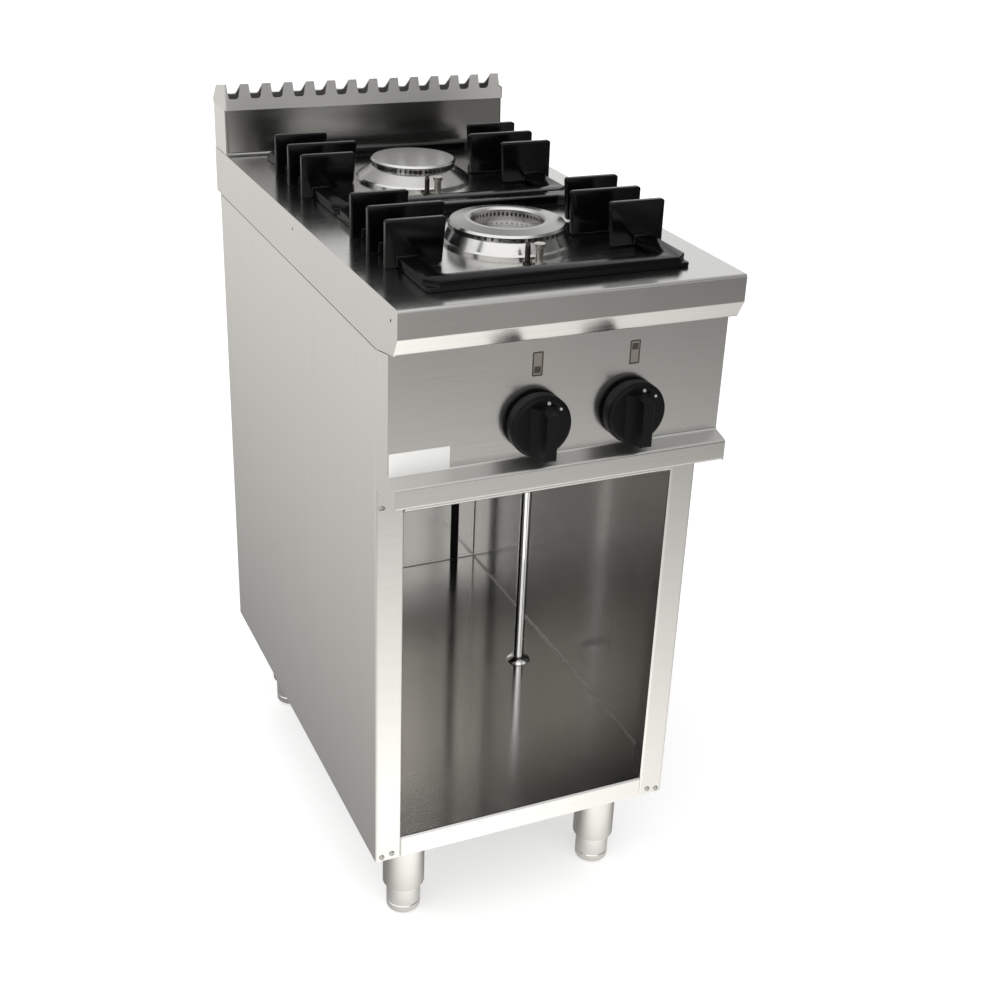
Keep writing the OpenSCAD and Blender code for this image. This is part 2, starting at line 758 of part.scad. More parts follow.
// The inlet pipe ends in a thread below the cabinet floor
thread_d = 20.9;
thread_l = 16;
hex_l = 10;
hex_d = 26;
thread_drop = 30;
inlet_end_z = leg_h - thread_drop;
inlet_bore_d = 12;
inlet_z = manifold_top_z - manifold_w / 2;
module inlet_run(d, start_y, end_z) translate([pipe_x, 0, 0]) rotate([90, 0, 90])
    flat_pipe([[start_y, inlet_z], [pipe_back, inlet_z], [pipe_back, end_z]], d, pipe_bend_r);
module gas_inlet_pipe() color(steel_light) from_posts() difference() {
    start_y = manifold_y + manifold_w / 2;
    union() {
        inlet_run(pipe_d, start_y, inlet_end_z + thread_l);
        translate([pipe_x, pipe_back, inlet_end_z])
            cylinder(d = thread_d, h = thread_l, $fn = small_fn);
        translate([pipe_x, pipe_back, inlet_end_z + thread_l])
            cylinder(d = hex_d, h = hex_l, $fn = 6);
    }
    inlet_run(inlet_bore_d, start_y - 1, inlet_end_z - 1);
}

flange_d = 34;
flange_t = 2.5;
collar_h = 8;
collar_wall = 2.7;
module inlet_pipe_flange() color(steel_light) from_posts()
    translate([pipe_x, pipe_back, floor_top_z]) rotate_extrude($fn = small_fn) polygon([
        [pipe_d / 2 + touch, 0],
        [flange_d / 2, 0],
        [flange_d / 2, flange_t - 1],
        [flange_d / 2 - 1, flange_t],
        [pipe_d / 2 + touch + collar_wall, flange_t],
        [pipe_d / 2 + touch + collar_wall, collar_h],
        [pipe_d / 2 + touch, collar_h]
    ]);

// Knobs: z is the distance in front of the panel's face
module at_knob(x) translate([x, -panel_out, knob_z]) rotate([90, 0, 0]) children();
collar_t = 4;
collar_d = 18;
collar_back_y = nose_front_y - push_travel - 0.5;
module push_collar(x) color(steel_dark) from_posts() translate([x, collar_back_y, knob_z])
    rotate([90, 0, 0]) difference() {
        cylinder(d = collar_d, h = collar_t, $fn = small_fn);
        translate([0, 0, -1]) cylinder(r = spindle_d / 2 + spindle_fit, h = collar_t + 2, $fn = small_fn);
    }
module left_push_collar() push_collar(left_knob_x);
module right_push_collar() push_collar(right_knob_x);

knob_back = bezel_t + knob_gap;
knob_front = knob_back + knob_body_h;
spindle_grip = 18;
spindle_front = knob_back + spindle_grip;
flat_l = 16;
flat_depth = 1.5;
shoulder_d = 13;
shoulder_t = 2.5;
module spindle(x) color(steel_light) from_posts() {
    back = -panel_out - spindle_back_y;
    shoulder = -panel_out - collar_back_y + collar_t;
    at_knob(x) difference() {
        union() {
            translate([0, 0, back]) cylinder(d = spindle_d, h = spindle_front - back, $fn = small_fn);
            translate([0, 0, shoulder + touch / 2]) cylinder(d = shoulder_d, h = shoulder_t, $fn = small_fn);
        }
        translate([-spindle_d, spindle_d / 2 - flat_depth, spindle_front - flat_l])
            cube([2 * spindle_d, spindle_d, flat_l + 1]);
    }
}
module left_spindle() spindle(left_knob_x);
module right_spindle() spindle(right_knob_x);

bezel_inset = 3;
bezel_edge = 0.5;
module bezel(x) color(plastic_black) from_posts() at_knob(x)
    rotate_extrude($fn = round_fn) polygon([
        [spindle_hole_d / 2, 0],
        [knob_d / 2 - bezel_inset, 0],
        [knob_d / 2 - bezel_inset, bezel_t - bezel_edge],
        [knob_d / 2 - bezel_inset - bezel_edge, bezel_t],
        [spindle_hole_d / 2, bezel_t]
    ]);
module left_bezel() bezel(left_knob_x);
module right_bezel() bezel(right_knob_x);

knob_wall = 3;
knob_roof = 5;
knob_rim = 4;
knob_hub_d = 20;

// The grip is a ridge with hollow flanks, drawn in as it rises from the face
grip_up = 22;
grip_down = 30;
grip_slope = 3;
grip_edge = 1.5;
grip_corner = 3;
flank_steps = 8;
function flank_x(k) = grip_w / 2 + (grip_base_w - grip_w) / 2 * pow(1 - k, 3);
module grip_section() {
    flank = [for (i = [0:flank_steps])
        let (k = i / flank_steps)
        [flank_x(k), knob_front - 1 + k * (grip_h + 1 - grip_edge)]];
    half = concat(flank, [[grip_w / 2 - grip_edge, knob_front + grip_h]]);
    polygon(concat(half, [for (i = [len(half) - 1:-1:0]) [-half[i][0], half[i][1]]]));
}
module grip_side() polygon(rounded_path([
    [0, knob_front - 1],
    [grip_up + grip_slope, knob_front - 1],
    [grip_up, knob_front + grip_h],
    [-grip_down, knob_front + grip_h],
    [-grip_down - grip_slope, knob_front - 1],
    [0, knob_front - 1]
], grip_corner));
module grip() intersection() {
    translate([0, -knob_d / 2, 0]) along_y(knob_d) grip_section();
    along_x(grip_base_w + 2) grip_side();
    cylinder(d = knob_d - knob_rim, h = knob_front + grip_h + 1, $fn = round_fn);
}
module knob(x) color(plastic_black) from_posts() at_knob(x) difference() {
    union() {
        rotate_extrude($fn = round_fn) polygon([
            [0, knob_back], [knob_hub_d / 2, knob_back],
            [knob_hub_d / 2, knob_front - knob_roof],
            [knob_d / 2 - knob_wall, knob_front - knob_roof],
            [knob_d / 2 - knob_wall, knob_back],
            [knob_d / 2 - 1, knob_back],
            [knob_d / 2, knob_back + 1],
            [knob_d / 2, knob_front - knob_rim],
            [knob_d / 2 - knob_rim * 0.3, knob_front - knob_rim * 0.3],
            [knob_d / 2 - knob_rim, knob_front],
            [0, knob_front]
        ]);
        grip();
    }
    difference() {
        translate([0, 0, knob_back - 1])
            cylinder(r = spindle_d / 2 + spindle_fit, h = spindle_front - knob_back + 1.5, $fn = small_fn);
        translate([-spindle_d, spindle_d / 2 - flat_depth + spindle_fit, spindle_front - flat_l + touch])
            cube([2 * spindle_d, spindle_d, flat_l + 2]);
    }
}
module left_knob() knob(left_knob_x);
module right_knob() knob(right_knob_x);

// Legs and feet
foot_clear = 0.3;
foot_wall = 4;
sleeve_cap = 6;
sleeve_edge = 1.5;
foot_top_z = leg_h - sleeve_cap - touch;
foot_edge = 5;
foot_edge_w = foot_edge * 1.4;
foot_pad_d = 24;
foot_pad_h = 2;
foot_ring_z = 14;
foot_groove = 0.8;
legs = [[-leg_x, leg_front], [leg_x, leg_front], [-leg_x, leg_back_y], [leg_x, leg_back_y]];
module leg(place) color(steel_light) from_posts()
    translate([place[0], place[1], leg_h - leg_sleeve_l]) difference() {
        rotate_extrude($fn = round_fn) polygon([
            [0, 0],
            [leg_d / 2 - sleeve_edge, 0],
            [leg_d / 2, sleeve_edge],
            [leg_d / 2, leg_sleeve_l],
            [0, leg_sleeve_l]
        ]);
        translate([0, 0, -1])
            cylinder(d = foot_d + 2 * foot_clear, h = leg_sleeve_l - sleeve_cap + 1, $fn = round_fn);
    }
foot_profile = concat(
    [[foot_d / 2 - foot_wall, foot_top_z], [foot_d / 2 - foot_wall, foot_ring_z], [0, foot_ring_z]],
    [[0, 0], [foot_pad_d / 2, 0], [foot_pad_d / 2, foot_pad_h]],
    [for (a = [0:15:90]) [
        foot_d / 2 - foot_edge_w * (1 - sin(a)),
        foot_pad_h + foot_edge * (1 - cos(a))]],
    [
        [foot_d / 2, foot_ring_z],
        [foot_d / 2 - foot_groove, foot_ring_z + foot_groove],
        [foot_d / 2, foot_ring_z + 2 * foot_groove],
        [foot_d / 2, foot_top_z]
    ]);
module foot(place) color(steel_light) from_posts()
    translate([place[0], place[1], 0]) rotate_extrude($fn = round_fn) polygon(foot_profile);
module front_left_leg() leg(legs[0]);
module front_right_leg() leg(legs[1]);
module rear_left_leg() leg(legs[2]);
module rear_right_leg() leg(legs[3]);
module front_left_foot() foot(legs[0]);
module front_right_foot() foot(legs[1]);
module rear_left_foot() foot(legs[2]);
module rear_right_foot() foot(legs[3]);

// Pan supports: an open frame with a low ear at each corner and three fins at each side
frame_corner = 14;
ear_corner = 3;
ear_h = 5;
fin_lift = 2;
fin_lean = 4;
fin_edge = 2;
module frame_outline(w, d, c) polygon([
    [-w / 2 + c, -d / 2], [w / 2 - c, -d / 2], [w / 2, -d / 2 + c], [w / 2, d / 2 - c],
    [w / 2 - c, d / 2], [-w / 2 + c, d / 2], [-w / 2, d / 2 - c], [-w / 2, -d / 2 + c]
]);
module fin(y, gap) translate([0, y - fin_t / 2, 0]) along_y(fin_t) polygon([
    [frame_w / 2 - frame_bar, 0],
    [support_w / 2, 0],
    [support_w / 2, support_h - fin_edge],
    [support_w / 2 - fin_edge, support_h],
    [gap / 2 + fin_edge, support_h],
    [gap / 2, support_h - fin_edge],
    [gap / 2 + fin_lean, fin_lift],
    [frame_w / 2 - frame_bar, fin_lift]
]);
module pan_support(y) color(enamel_black) from_posts() translate([0, y, worktop_z]) {
    difference() {
        union() {
            linear_extrude(frame_h) frame_outline(frame_w, frame_d, frame_corner);
            linear_extrude(ear_h) frame_outline(frame_w, frame_d, ear_corner);
        }
        translate([0, 0, -1]) linear_extrude(frame_h + 2)
            frame_outline(frame_w - 2 * frame_bar, frame_d - 2 * frame_bar, frame_corner / 2);
    }
    for (side = [-1, 1]) mirrored(side) {
        fin(0, long_fin_gap);
        fin(-fin_pitch, short_fin_gap);
        fin(fin_pitch, short_fin_gap);
    }
}
module front_pan_support() pan_support(front_burner_y);
module rear_pan_support() pan_support(rear_burner_y);

// Pan-head screws in the front posts
module cabinet_screws() color(steel_dark) from_posts()
    for (side = [-1, 1], p = screw_places)
        translate([side * p[0], 0, p[1]]) rotate([90, 0, 0]) {
            rotate_extrude($fn = small_fn) polygon([
                [0, 0], [screw_head_d / 2, 0], [screw_head_d / 2, screw_head_h / 2],
                [screw_head_d / 3, screw_head_h], [0, screw_head_h]
            ]);
            translate([0, 0, -screw_l]) cylinder(d = screw_d, h = screw_l, $fn = small_fn);
        }

left_side_panel();
right_side_panel();
back_panel();
cabinet_floor();
front_base_channel();
rear_base_channel();
top_front_rail();
rear_top_rail();
left_worktop_rail();
right_worktop_rail();
burner_box_floor();
worktop();
control_panel();
flue_box();
flue_cap();
front_burner_body();
rear_burner_body();
front_burner_crown();
rear_burner_cap();
front_injector();
rear_injector();
front_pilot();
rear_pilot();
front_thermocouple();
rear_thermocouple();
gas_manifold();
left_gas_valve();
right_gas_valve();
front_feed_pipe();
rear_feed_pipe();
gas_inlet_pipe();
inlet_pipe_flange();
left_push_collar();
right_push_collar();
left_spindle();
right_spindle();
left_bezel();
right_bezel();
left_knob();
right_knob();
front_left_leg();
front_right_leg();
rear_left_leg();
rear_right_leg();
front_left_foot();
front_right_foot();
rear_left_foot();
rear_right_foot();
front_pan_support();
rear_pan_support();
cabinet_screws();
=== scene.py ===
# Free-standing two-burner gas range: the finish of its sheet steel, castings, enamel and plastic,
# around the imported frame. Metres, X to the right, Y to the back, Z up, origin on the floor.
import math
import bmesh
import bpy
from mathutils import Matrix, Vector


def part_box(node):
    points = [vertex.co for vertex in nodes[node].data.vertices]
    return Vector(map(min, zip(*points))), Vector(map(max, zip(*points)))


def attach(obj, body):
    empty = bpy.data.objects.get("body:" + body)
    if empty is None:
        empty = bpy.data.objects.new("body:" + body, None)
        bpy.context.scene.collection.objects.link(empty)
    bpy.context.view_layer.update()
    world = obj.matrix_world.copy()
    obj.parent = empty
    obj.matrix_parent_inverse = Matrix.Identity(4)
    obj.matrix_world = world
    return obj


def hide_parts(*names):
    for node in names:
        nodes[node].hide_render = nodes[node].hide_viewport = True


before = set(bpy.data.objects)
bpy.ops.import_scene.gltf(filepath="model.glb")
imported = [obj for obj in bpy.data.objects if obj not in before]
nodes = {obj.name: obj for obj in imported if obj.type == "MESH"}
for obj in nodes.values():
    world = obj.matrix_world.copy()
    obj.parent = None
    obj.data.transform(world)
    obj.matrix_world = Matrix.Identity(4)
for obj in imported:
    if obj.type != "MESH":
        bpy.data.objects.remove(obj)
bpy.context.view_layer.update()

# Camera
# It stands in front of the range, a little to its left, at head height, and looks down at the
# burners. Its place is measured from the front posts.
posts_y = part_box("left_side_panel")[0][1]
camera_place = Vector((-0.6721, posts_y - 1.3332, 1.3388))
camera_azimuth = math.radians(24.912)
camera_fall = math.radians(26.309)
camera_roll = math.radians(2.444)
focal_length_px = 1462.5
picture_px = 1000
sensor_mm = 36

toward = Vector((
    math.sin(camera_azimuth) * math.cos(camera_fall),
    math.cos(camera_azimuth) * math.cos(camera_fall),
    -math.sin(camera_fall)))
level_right = Vector((math.cos(camera_azimuth), -math.sin(camera_azimuth), 0))
level_up = level_right.cross(toward)
camera_right = level_right * math.cos(camera_roll) + level_up * math.sin(camera_roll)
camera_up = level_up * math.cos(camera_roll) - level_right * math.sin(camera_roll)
camera_data = bpy.data.cameras.new("camera")
camera_data.sensor_width = sensor_mm
camera_data.lens = sensor_mm * focal_length_px / picture_px
camera_data.clip_end = 100
camera = bpy.data.objects.new("camera", camera_data)
camera.matrix_world = Matrix.Translation(camera_place) @ Matrix(
    (camera_right, camera_up, -toward)).transposed().to_4x4()
bpy.context.collection.objects.link(camera)
bpy.context.scene.camera = camera
bpy.context.scene.view_settings.view_transform = "Standard"


# Studio
# A plain pale floor under a wide soft sky. Steel takes its tones from what it reflects, so the
# floor has painted light that only reflections see: a broad painted pool of light in front of the
# range, a painted pool further off, and painted light that grows away from the range's painted
# shade at its left side. To the camera it is plain and matt.
def linear(colour, shade=1.0):
    """A CSS colour such as #C9C8C4 as Blender's linear values, with only a share of its light."""
    parts = [int(colour[i:i + 2], 16) / 255 for i in (1, 3, 5)]
    parts = [c / 12.92 if c <= 0.04045 else ((c + 0.055) / 1.055) ** 2.4 for c in parts]
    return tuple(c * shade for c in parts) + (1,)


def add(tree, kind, inputs=None, **settings):
    """A new shader node. Each input is set to a value, or linked from a socket or from a node's
    first output."""
    made = tree.nodes.new("ShaderNode" + kind)
    for name, value in settings.items():
        setattr(made, name, value)
    for name, value in (inputs or {}).items():
        if isinstance(value, bpy.types.Node):
            value = value.outputs[0]
        if isinstance(value, bpy.types.NodeSocket):
            tree.links.new(value, made.inputs[name])
        else:
            made.inputs[name].default_value = value
    return made


def steps(value, start, stop, low, high):
    """Inputs for a Map Range node that takes value from low, at start, to high, at stop."""
    return {"Value": value, "From Min": start, "From Max": stop, "To Min": low, "To Max": high}


smooth = {"interpolation_type": "SMOOTHSTEP"}

floor_radius = 16
floor_paint = "#F4F4F4"
floor_fill = 0.42
glow_colour = "#FFFDF9"
matt_glow = 0.5
# The broad painted pool of light: its spot, its strength there, the share that is left after each
# metre, and the glow of the floor that it doesn't reach
painted_pool_spot = (-0.05, posts_y - 0.25, 0)
painted_pool_glow = 1.65
painted_pool_fall_per_metre = 0.3679
front_glow = 0.17
# The painted pool of light further off: its spot, where its edge starts and ends, and its strength
far_spot = (0.7, -4.35, 0)
far_reach = (0.3, 1.7)
far_glow = 0.9
# Beside the range: the painted glow at its left side, what the open floor adds, and how fast the
# range's painted shade goes. On its right the painted glow falls again. In front of front_ends the
# painted pools take over.
side_start = -0.2
side_glow = 0.30
open_glow = 0.70
side_fall_per_metre = 0.1353
right_reach = (0.3, 1.5)
right_shade = 0.2
front_ends = (posts_y - 0.08, posts_y + 0.12)

floor_mesh = bpy.data.meshes.new("floor")
shape = bmesh.new()
bmesh.ops.create_circle(shape, cap_ends=True, radius=floor_radius, segments=96)
shape.to_mesh(floor_mesh)
shape.free()
floor = bpy.data.objects.new("floor", floor_mesh)
bpy.context.collection.objects.link(floor)

pale_floor = bpy.data.materials.new("pale_floor")
pale_floor.use_nodes = True
tree = pale_floor.node_tree
tree.nodes.clear()
place = add(tree, "TexCoord").outputs["Object"]
along = add(tree, "SeparateXYZ", {0: place}).outputs

from_painted_pool = add(tree, "VectorMath", {0: place, 1: painted_pool_spot}, operation="DISTANCE").outputs["Value"]
# A painted pool of light in the floor's glow, seen only in reflections; no lamp stands there
lamp = add(tree, "Math", {0: painted_pool_fall_per_metre, 1: from_painted_pool}, operation="POWER")
front = add(tree, "Math", {0: lamp, 1: painted_pool_glow, 2: front_glow}, operation="MULTIPLY_ADD")
from_far = add(tree, "VectorMath", {0: place, 1: far_spot}, operation="DISTANCE").outputs["Value"]
far_painted_pool = add(tree, "MapRange", steps(from_far, *far_reach, far_glow, 0), **smooth)
front = add(tree, "Math", {0: front, 1: far_painted_pool}, operation="ADD")

# The range's painted shade in the floor's glow beside its left side, seen only in reflections
aside = add(tree, "Math", {0: side_start, 1: along["X"]}, operation="SUBTRACT")
aside = add(tree, "Math", {0: aside, 1: 0}, operation="MAXIMUM")
shade = add(tree, "Math", {0: side_fall_per_metre, 1: aside}, operation="POWER")
side = add(tree, "Math", {0: shade, 1: -open_glow, 2: side_glow + open_glow}, operation="MULTIPLY_ADD")
dimmed = add(tree, "MapRange", steps(along["X"], *right_reach, 0, -right_shade), **smooth)
side = add(tree, "Math", {0: side, 1: dimmed}, operation="ADD")

in_front = add(tree, "MapRange", steps(along["Y"], *front_ends, 1, 0), **smooth)
pools = add(tree, "Mix", {"Factor": in_front, "A": side, "B": front})
ray = add(tree, "LightPath").outputs
pools = add(tree, "Math", {0: ray["Is Diffuse Ray"], 1: matt_glow, 2: pools}, operation="MULTIPLY_ADD")
reflected = add(tree, "Emission", {"Color": linear(glow_colour), "Strength": pools})
paint = add(tree, "BsdfDiffuse", {"Color": linear(floor_paint)})
fill = add(tree, "Emission", {"Color": linear("#FFFFFF"), "Strength": floor_fill})
seen = add(tree, "AddShader", {0: paint, 1: fill})
both = add(tree, "MixShader", {0: ray["Is Camera Ray"], 1: reflected, 2: seen})
add(tree, "OutputMaterial", {"Surface": both})
floor_mesh.materials.append(pale_floor)

# Each light of the sky: where it is, how near its middle it starts and is full, as a cosine, its
# strength outside and inside, and how it joins the others. The first is the key, high in front on
# the left. Two dark flags stand on the right, and a soft lamp behind the range.
sky_lights = (
    ((-0.45, -0.55, 0.75), 0.1, 0.95, 0.46, 1.35, "ADD"),
    ((0.93, 0.36, 0.0), 0.82, 0.98, 1.0, 0.22, "MULTIPLY"),
    ((0.75, -0.45, 0.45), 0.80, 0.97, 1.0, 0.3, "MULTIPLY"),
    ((0.515, 0.80, 0.288), 0.93, 0.985, 0.0, 0.5, "ADD"))

sky = bpy.data.worlds.new("soft_sky")
bpy.context.scene.world = sky
sky.use_nodes = True
tree = sky.node_tree
tree.nodes.clear()
direction = add(tree, "TexCoord").outputs["Generated"]
glow = 0.0
for where, start, full, outside, inside, joins in sky_lights:
    facing = add(tree, "VectorMath", {0: direction, 1: Vector(where).normalized()},
                 operation="DOT_PRODUCT").outputs["Value"]
    light = add(tree, "MapRange", steps(facing, start, full, outside, inside), **smooth)
    glow = add(tree, "Math", {0: glow, 1: light}, operation=joins)
to_camera = add(tree, "LightPath").outputs["Is Camera Ray"]
strength = add(tree, "Mix", {"Factor": to_camera, "A": glow, "B": 1.0})
sky_light = add(tree, "Background", {"Color": linear("#FFFFFF"), "Strength": strength})
add(tree, "OutputWorld", {"Surface": sky_light})

# Side panels and top rail
# Folded from stainless sheet, AISI 304, each side panel in one with its front post. The sheet is
# ground by belt in one direction: the eye sees soft streaks along the grinding and reflections
# drawn out across it. The streaks are drawn wider than the real ones, so that they show.
mm = 0.001
# The grinding: a streak's length, width and depth, how much its darker lines show and how dark they
# are, the strength of its relief, and how much it changes the roughness
grind_length = 220 * mm
grind_width = 0.9 * mm
grind_depth = 0.3 * mm
grind_dark = 0.3
grind_tone = 0.85
grind_relief = 0.12
streak_roughness = 0.02
# Hands and cloths change the roughness too, over patches of a seventh of a metre
handled_patch = 1 / 7
handled_roughness = (-0.02, 0.03)
# From these values of its normal on, a face counts as a side face or as one that looks up
sideways_from = 0.7
upward_from = 0.3
steel_tone = "#D6D5D2"


def new_material(name):
    """A material with an empty tree, and the outputs of its texture coordinates."""
    made = bpy.data.materials.new(name)
    made.use_nodes = True
    tree = made.node_tree
    tree.nodes.clear()
    return made, tree, add(tree, "TexCoord").outputs


def spread(noise, low, high):
    """Inputs for a Map Range node that spreads a noise's usual values from low to high."""
    return steps(noise, 0.3, 0.7, low, high)


def satin_steel(name, colour, roughness, grind=1.0, worn=0.0):
    """Belt-ground stainless steel. On upright side faces the grinding runs up and down. Faces that
    look up can be worn duller than the rest."""
    made, tree, coords = new_material(name)
    streaks = []
    for scale in ((1 / grind_length, 1 / grind_width, 1 / grind_width),
                  (1 / grind_width, 1 / grind_width, 1 / grind_length)):
        drawn_out = add(tree, "Mapping", {"Vector": coords["Object"], "Scale": scale})
        streaks.append(add(tree, "TexNoise", {"Vector": drawn_out, "Scale": 1, "Detail": 2}))
    facing = add(tree, "SeparateXYZ", {0: coords["Normal"]}).outputs
    aside = add(tree, "Math", {0: facing["X"]}, operation="ABSOLUTE")
    on_a_side = add(tree, "Math", {0: aside, 1: sideways_from}, operation="GREATER_THAN")
    grain = add(tree, "Mix", {"Factor": on_a_side, "A": streaks[0], "B": streaks[1]})
    patches = add(tree, "TexNoise", {"Vector": coords["Object"], "Scale": 1 / handled_patch, "Detail": 3})
    streaked = add(tree, "MapRange", spread(grain, -streak_roughness, streak_roughness), **smooth)
    handled = add(tree, "MapRange", spread(patches, *(roughness + change for change in handled_roughness)),
                  **smooth)
    rough = add(tree, "Math", {0: streaked, 1: handled}, operation="ADD")
    upward = add(tree, "Math", {0: facing["Z"], 1: upward_from}, operation="GREATER_THAN")
    rough = add(tree, "Math", {0: upward, 1: worn, 2: rough}, operation="MULTIPLY_ADD")
    darker = add(tree, "MapRange", steps(grain, 0.25, 0.75, 0, grind_dark), **smooth)
    tint = add(tree, "Mix", {"Factor": darker, "A": linear(colour), "B": linear(colour, grind_tone)},
               data_type="RGBA")
    bump = add(tree, "Bump", {
        "Height": grain, "Strength": grind_relief * grind, "Distance": grind_depth})
    shader = add(tree, "BsdfPrincipled", {
        "Base Color": tint.outputs[2], "Metallic": 1.0, "Roughness": rough, "Normal": bump})
    add(tree, "OutputMaterial", {"Surface": shader})
    return made


def dress(names, material):
    """Puts a material on every slot of the named nodes."""
    for name in names:
        slots = nodes[name].data.materials
        for i in range(len(slots)):
            slots[i] = material


sheet_steel = satin_steel("satin_stainless_sheet", steel_tone, roughness=0.21)
dress(("left_side_panel", "right_side_panel", "top_front_rail"), sheet_steel)

# Inside of the cabinet
# Floor, back, channels and rails of the same sheet with its bright mill finish, which keeps its
# shine because nothing rubs on it. The inner corners are welded and dressed, and read as soft lines.
inner_steel = satin_steel("satin_stainless_inside", "#D9D8D6", roughness=0.13, grind=0.5)
dress(("back_panel", "cabinet_floor", "front_base_channel", "rear_base_channel", "rear_top_rail",
       "left_worktop_rail", "right_worktop_rail", "burner_box_floor"), inner_steel)

floor_top = 168
floor_front = 22
wall_inside = 198.5
wall_top = 659
back_inside = 639
weld_leg = 1.8
weld_root = 0.2
dressed_weld = satin_steel("dressed_weld", "#DDDCDA", roughness=0.33, grind=0.5)


def at(x, y, z):
    """A place given in millimetres from the front posts, as in the part's own drawing."""
    return Vector((x * mm, posts_y + y * mm, z * mm))


def new_piece(name, shape, material, body, smooth_below=None):
    """Turns a bmesh into a named piece that rides on a body. Edges under the angle are smooth."""
    bmesh.ops.recalc_face_normals(shape, faces=shape.faces)
    if smooth_below:
        for face in shape.faces:
            face.smooth = True
        for edge in shape.edges:
            edge.smooth = len(edge.link_faces) == 2 and edge.calc_face_angle() < math.radians(smooth_below)
    mesh = bpy.data.meshes.new(name)
    shape.to_mesh(mesh)
    shape.free()
    mesh.materials.append(material)
    made = bpy.data.objects.new(name, mesh)
    bpy.context.collection.objects.link(made)
    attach(made, body)
    return made


def bead(name, start, along, into, up, leg, material):
    """A slightly hollow bead along an inner corner, from one wall into the room and up the other."""
    shape = bmesh.new()
    profile = [into * leg * mm * (1 - k) ** 2 + up * leg * mm * k ** 2 for k in (0, 0.25, 0.5, 0.75, 1)]
    profile.append(-(into + up) * weld_root * mm)
    end = shape.faces.new([shape.verts.new(start + point) for point in profile])
    grown = bmesh.ops.extrude_face_region(shape, geom=[end])["geom"]
    bmesh.ops.translate(shape, vec=along, verts=[v for v in grown if isinstance(v, bmesh.types.BMVert)])
    return new_piece(name, shape, material, "cabinet", smooth_below=50)


up = Vector((0, 0, 1))
forward = Vector((0, -1, 0))
for side, s in (("left", -1), ("right", 1)):
    inwards = Vector((-s, 0, 0))
    bead(f"{side}_floor_weld", at(s * wall_inside, floor_front, floor_top),
         -forward * (back_inside - floor_front) * mm, inwards, up, weld_leg, dressed_weld)
    bead(f"{side}_corner_weld", at(s * wall_inside, back_inside, floor_top),
         up * (wall_top - floor_top) * mm, inwards, forward, weld_leg, dressed_weld)
bead("back_floor_weld", at(-wall_inside, back_inside, floor_top), Vector((2 * wall_inside * mm, 0, 0)),
     forward, up, weld_leg, dressed_weld)

# Joint strip
# A black strip along the joint between the back panel and its fold. It reflects almost nothing,
# so it reads as a plain dark upright line.
strip_left = 157
strip_right = 170
strip_foot = 169
strip_t = 2
strip_sunk = 0.2
strip_edge = 0.6
# Rubbing changes a black finish over patches of a thirtieth of a metre
rubbed_patch = 1 / 30


def block(shape, low, high, edge=0.0, segments=2):
    """Adds a box between two corners in millimetres, with rounded edges."""
    low, high = at(*low), at(*high)
    verts = bmesh.ops.create_cube(
        shape, size=1, matrix=Matrix.LocRotScale((low + high) / 2, None, high - low))["verts"]
    if edge:
        edges = list({e for vert in verts for e in vert.link_edges})
        bmesh.ops.bevel(shape, geom=edges, offset=edge * mm, segments=segments, affect="EDGES",
                        profile=0.5, material=-1)


def dark_finish(name, colour, roughness, grain_mm, depth_mm, specular, coat=0.0):
    """A black moulded or fired surface with a fine texture, rubbed a little brighter in patches."""
    made, tree, coords = new_material(name)
    grain = add(tree, "TexNoise", {"Vector": coords["Object"], "Scale": 1 / (grain_mm * mm), "Detail": 2})
    patches = add(tree, "TexNoise", {"Vector": coords["Object"], "Scale": 1 / rubbed_patch, "Detail": 2})
    grained = add(tree, "MapRange", spread(grain, -0.04, 0.04), **smooth)
    rubbed = add(tree, "MapRange", spread(patches, roughness * 0.9, roughness * 1.15), **smooth)
    rough = add(tree, "Math", {0: grained, 1: rubbed}, operation="ADD")
    bump = add(tree, "Bump", {"Height": grain, "Strength": 0.4, "Distance": depth_mm * mm})
    tint = add(tree, "Mix", {"Factor": patches, "A": linear(colour), "B": linear(colour, 0.7)},
               data_type="RGBA")
    shader = add(tree, "BsdfPrincipled", {
        "Base Color": tint.outputs[2], "Roughness": rough, "Normal": bump,
        "Specular IOR Level": specular, "Coat Weight": coat, "Coat Roughness": 0.1})
    add(tree, "OutputMaterial", {"Surface": shader})
    return made


shape = bmesh.new()
block(shape, (strip_left, back_inside - strip_t, strip_foot),
      (strip_right, back_inside + strip_sunk, wall_top), strip_edge)
dark_strip_finish = dark_finish("black_strip_finish", "#0B0B0B", roughness=0.5, grain_mm=0.8, depth_mm=0.04, specular=0.2)
new_piece("back_joint_strip", shape, dark_strip_finish, "cabinet", smooth_below=40)

# Legs
# Each is a stainless sleeve, turned and screwed under the cabinet, and a foot that screws out of it.
# The turning leaves them smoother than the sheet. The foot's steel is painted lighter than the
# leg's, painted light that makes it read the brightest.
leg_names = [f"{end}_{side}" for end in ("front", "rear") for side in ("left", "right")]
leg_steel = satin_steel("turned_stainless_leg", "#D3D2CE", roughness=0.15)
# The foot's colour is painted lighter than the leg's, as painted light
lightened_foot_steel = satin_steel("lightened_stainless_foot", "#EFEEEB", roughness=0.13)
dress([f"{name}_leg" for name in leg_names], leg_steel)
dress([f"{name}_foot" for name in leg_names], lightened_foot_steel)


